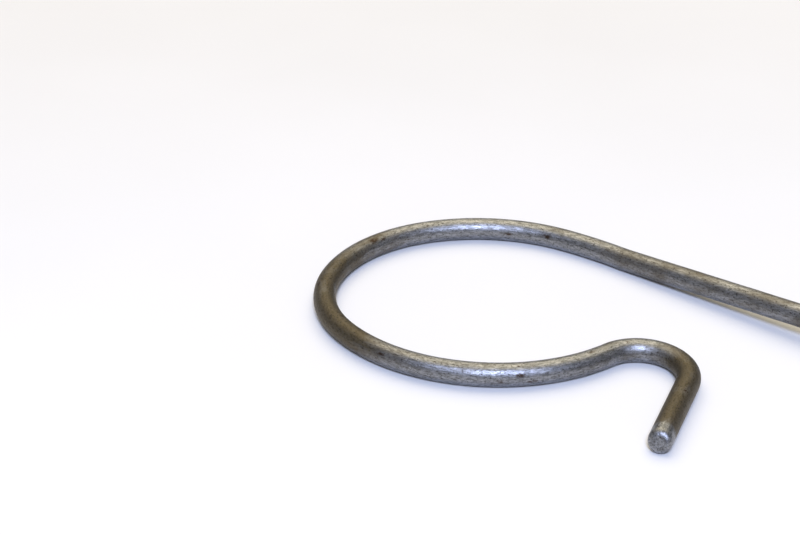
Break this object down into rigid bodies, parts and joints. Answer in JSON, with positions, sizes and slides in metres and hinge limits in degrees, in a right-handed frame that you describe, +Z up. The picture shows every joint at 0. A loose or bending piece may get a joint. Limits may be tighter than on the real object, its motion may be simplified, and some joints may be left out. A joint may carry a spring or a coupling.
{
  "type": "inoculating loop",
  "caption": "Open wire loop with a flicked tip, clamped in a collet chuck on a slim insulated hand holder, for streaking and transferring cultures.",
  "frame": {"origin": "on the bench, under the middle of the whole object's box", "axes": "+X along the holder's axis from the loop towards the end cap, +Z up from the bench; the loop lies to the -Y side"},
  "size_m": [0.2164, 0.0326, 0.0096],
  "materials": {
    "loop_steel": "dark drawn steel, faintly browned, with fine pits and rust specks",
    "nickel_plate": "satin nickel plate, fine turning marks",
    "stem_steel": "ground stainless steel",
    "brass": "plain machined brass",
    "phenolic": "moulded black phenolic, semi-matt, worn smooth at the waist",
    "fibre": "red vulcanised fibre"
  },
  "bodies": {
    "holder": {"chuck_body": "nickel_plate", "collet": "brass", "stem": "stem_steel", "drive_pin": "stem_steel", "front_ferrule": "nickel_plate", "heat_washer": "fibre", "grip_sleeve": "phenolic", "disc_spring": "stem_steel", "end_cap": "nickel_plate"},
    "nut_carriage": {"closing_ring": "brass"},
    "nut": {"clamp_nut": "nickel_plate"},
    "wire": {"loop_wire": "loop_steel"}
  },
  "joints": [
    {"name": "nut_travel", "type": "slide", "parent": "holder", "child": "nut_carriage", "axis": [-1, 0, 0], "range_m": [0, 0.00225]},
    {"name": "nut_turn", "type": "hinge", "parent": "nut_carriage", "child": "nut", "pos_m": [-0.00276, 0.0115, 0.0048], "axis": [-1, 0, 0], "range_deg": [0, 1080]},
    {"name": "wire_slide", "type": "slide", "parent": "holder", "child": "wire", "axis": [-1, 0, 0], "range_m": [0, 0.0135]}
  ],
  "couplings": [
    {"joint": "nut_turn", "follows": "nut_travel", "rad_per_m": 8377.6}
  ]
}
